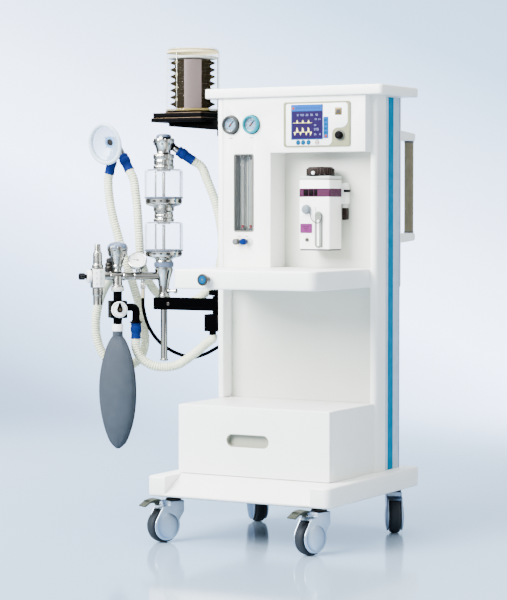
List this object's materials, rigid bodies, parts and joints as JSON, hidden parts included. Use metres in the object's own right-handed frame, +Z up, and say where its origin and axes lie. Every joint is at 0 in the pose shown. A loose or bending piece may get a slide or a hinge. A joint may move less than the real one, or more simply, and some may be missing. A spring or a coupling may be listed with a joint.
{
  "type": "anesthesia machine",
  "caption": "Trolley-mounted anesthesia machine with monitor, vaporizer, drawer, ventilator bellows and a circle absorber on a swinging arm with its breathing hoses.",
  "frame": {"origin": "on the floor under the middle of the rigid parts, leaving out the patient hoses, Y-piece and face mask", "axes": "+Z up, -Y the front with monitor, worktop and drawer, +X to the right as seen from the front, the absorber arm at -X"},
  "size_m": [1.039, 0.7064, 1.468],
  "materials": {
    "white_paint": "satin powder coat",
    "offwhite_paint": "satin",
    "offwhite_plastic": "satin",
    "bronze_metal": "satin bronze",
    "gauge_grey": "satin",
    "gauge_blue": "satin",
    "dark_plastic": "gloss",
    "dial_brown": "matt",
    "monitor_plastic": "satin",
    "silver_metal": "satin",
    "pedal_plastic": "matt",
    "caster_tyre": "matt",
    "black_metal": "gloss",
    "chrome_metal": "polished",
    "clear_jar": "clear",
    "smoked_dome": "clear",
    "black_rubber": "matt",
    "grey_rubber": "matt",
    "hose_plastic": "satin",
    "mask_silicone": "translucent"
  },
  "bodies": {
    "cabinet": {"base_platform": "white_paint", "left_side_panel": "white_paint", "right_side_panel": "white_paint", "inner_panel": "white_paint", "rear_cover": "white_paint", "head_housing": "white_paint", "top_shelf": "white_paint", "worktop": "white_paint", "drawer_housing": "white_paint", "handle_bracket_upper": "offwhite_plastic", "handle_bracket_lower": "offwhite_plastic", "handle_bar": "bronze_metal", "pressure_gauge_left": "gauge_grey", "pressure_gauge_right": "gauge_blue", "flowmeter": "dark_plastic", "monitor": "monitor_plastic", "vaporizer_body": "offwhite_paint", "bellows_base": "black_metal", "bellows_dome": "smoked_dome", "bellows_stack": "black_rubber", "arm_post": "black_metal"},
    "drawer": {"drawer": "white_paint"},
    "caster_front_left": {"caster_fork_front_left": "silver_metal"},
    "wheel_front_left": {"caster_wheel_front_left": "caster_tyre"},
    "pedal_front_left": {"brake_pedal_front_left": "pedal_plastic"},
    "caster_front_right": {"caster_fork_front_right": "silver_metal"},
    "wheel_front_right": {"caster_wheel_front_right": "caster_tyre"},
    "pedal_front_right": {"brake_pedal_front_right": "pedal_plastic"},
    "caster_rear_left": {"caster_fork_rear_left": "silver_metal"},
    "wheel_rear_left": {"caster_wheel_rear_left": "caster_tyre"},
    "caster_rear_right": {"caster_fork_rear_right": "silver_metal"},
    "wheel_rear_right": {"caster_wheel_rear_right": "caster_tyre"},
    "flow_knob_left": {"flow_knob_left": "gauge_grey"},
    "flow_knob_right": {"flow_knob_right": "gauge_blue"},
    "encoder_knob": {"encoder_knob": "dark_plastic"},
    "vaporizer_dial": {"vaporizer_dial": "dial_brown"},
    "vaporizer_lock_lever": {"vaporizer_lock_lever": "dark_plastic"},
    "vaporizer_filler_cap": {"vaporizer_filler_cap": "silver_metal"},
    "flush_button": {"flush_button": "gauge_blue"},
    "bellows_disc": {"bellows_disc": "offwhite_plastic"},
    "absorber": {"absorber_arm": "black_metal", "absorber_stem": "chrome_metal", "canister_lower": "clear_jar", "canister_neck": "chrome_metal", "canister_upper": "clear_jar", "top_valve": "chrome_metal", "manifold_pipe": "chrome_metal", "relief_block": "chrome_metal", "side_valve": "chrome_metal", "airway_gauge": "offwhite_plastic", "selector_valve": "dark_plastic", "breathing_bag": "grey_rubber", "face_mask": "mask_silicone", "y_piece": "chrome_metal", "hose_expiratory": "hose_plastic", "hose_inspiratory": "hose_plastic", "hose_ventilator": "hose_plastic", "hose_gas": "black_rubber"},
    "relief_knob": {"relief_knob": "dark_plastic"},
    "selector_lever": {"selector_lever": "dark_plastic"}
  },
  "joints": [
    {"name": "drawer_slide", "type": "slide", "parent": "cabinet", "child": "drawer", "axis": [0, -1, 0], "range_m": [0, 0.25]},
    {"name": "caster_swivel_front_left", "type": "hinge", "parent": "cabinet", "child": "caster_front_left", "pos_m": [-0.04253, -0.24375, 0.128], "axis": [0, 0, 1], "continuous": true},
    {"name": "wheel_spin_front_left", "type": "hinge", "parent": "caster_front_left", "child": "wheel_front_left", "pos_m": [-0.05732, -0.27547, 0.05], "axis": [0.9063, -0.4226, 0], "continuous": true},
    {"name": "brake_press_front_left", "type": "hinge", "parent": "caster_front_left", "child": "pedal_front_left", "pos_m": [-0.0662, -0.2945, 0.114], "axis": [0.9063, -0.4226, 0], "range_deg": [0, 17]},
    {"name": "caster_swivel_front_right", "type": "hinge", "parent": "cabinet", "child": "caster_front_right", "pos_m": [0.43747, -0.24375, 0.128], "axis": [0, 0, 1], "continuous": true},
    {"name": "wheel_spin_front_right", "type": "hinge", "parent": "caster_front_right", "child": "wheel_front_right", "pos_m": [0.42665, -0.27704, 0.05], "axis": [0.9511, -0.309, 0], "continuous": true},
    {"name": "brake_press_front_right", "type": "hinge", "parent": "caster_front_right", "child": "pedal_front_right", "pos_m": [0.42016, -0.29701, 0.114], "axis": [0.9511, -0.309, 0], "range_deg": [0, 17]},
    {"name": "caster_swivel_rear_left", "type": "hinge", "parent": "cabinet", "child": "caster_rear_left", "pos_m": [-0.04253, 0.24425, 0.128], "axis": [0, 0, 1], "continuous": true},
    {"name": "wheel_spin_rear_left", "type": "hinge", "parent": "caster_rear_left", "child": "wheel_rear_left", "pos_m": [-0.01778, 0.2195, 0.05], "axis": [0.7071, 0.7071, 0], "continuous": true},
    {"name": "caster_swivel_rear_right", "type": "hinge", "parent": "cabinet", "child": "caster_rear_right", "pos_m": [0.43747, 0.24425, 0.128], "axis": [0, 0, 1], "continuous": true},
    {"name": "wheel_spin_rear_right", "type": "hinge", "parent": "caster_rear_right", "child": "wheel_rear_right", "pos_m": [0.45497, 0.21394, 0.05], "axis": [0.866, 0.5, 0], "continuous": true},
    {"name": "flow_turn_left", "type": "hinge", "parent": "cabinet", "child": "flow_knob_left", "pos_m": [0.01247, 0.04825, 0.873], "axis": [0, -1, 0], "range_deg": [0, 330]},
    {"name": "flow_turn_right", "type": "hinge", "parent": "cabinet", "child": "flow_knob_right", "pos_m": [0.03747, 0.04825, 0.873], "axis": [0, -1, 0], "range_deg": [0, 330]},
    {"name": "encoder_turn", "type": "hinge", "parent": "cabinet", "child": "encoder_knob", "pos_m": [0.35547, 0.04825, 1.188], "axis": [0, -1, 0], "continuous": true},
    {"name": "vaporizer_setting", "type": "hinge", "parent": "cabinet", "child": "vaporizer_dial", "pos_m": [0.27247, 0.08125, 1.069], "axis": [0, 0, 1], "range_deg": [0, 260]},
    {"name": "vaporizer_lock", "type": "hinge", "parent": "cabinet", "child": "vaporizer_lock_lever", "pos_m": [0.34047, 0.12425, 1.025], "axis": [1, 0, 0], "range_deg": [0, 90]},
    {"name": "filler_turn", "type": "hinge", "parent": "cabinet", "child": "vaporizer_filler_cap", "pos_m": [0.24847, 0.04225, 0.97], "axis": [0, -1, 0], "range_deg": [0, 90]},
    {"name": "flush_press", "type": "slide", "parent": "cabinet", "child": "flush_button", "axis": [0, 1, 0], "range_m": [0, 0.005], "stiffness_N_per_m": 300, "springref_m": -0.001},
    {"name": "bellows_travel", "type": "slide", "parent": "cabinet", "child": "bellows_disc", "axis": [0, 0, -1], "range_m": [0, 0.1], "stiffness_N_per_m": 60, "springref_m": -0.025, "deforming": ["bellows_stack"]},
    {"name": "arm_swing", "type": "hinge", "parent": "cabinet", "child": "absorber", "pos_m": [-0.10653, 0.12425, 0.676], "axis": [0, 0, 1], "range_deg": [-20, 45]},
    {"name": "relief_turn", "type": "hinge", "parent": "absorber", "child": "relief_knob", "pos_m": [-0.48084, -0.05606, 0.763], "axis": [-0.7071, -0.7071, 0], "range_deg": [0, 300]},
    {"name": "selector_turn", "type": "hinge", "parent": "absorber", "child": "selector_lever", "pos_m": [-0.40518, 0.0196, 0.66], "axis": [0.7071, -0.7071, 0], "range_deg": [0, 90]}
  ]
}
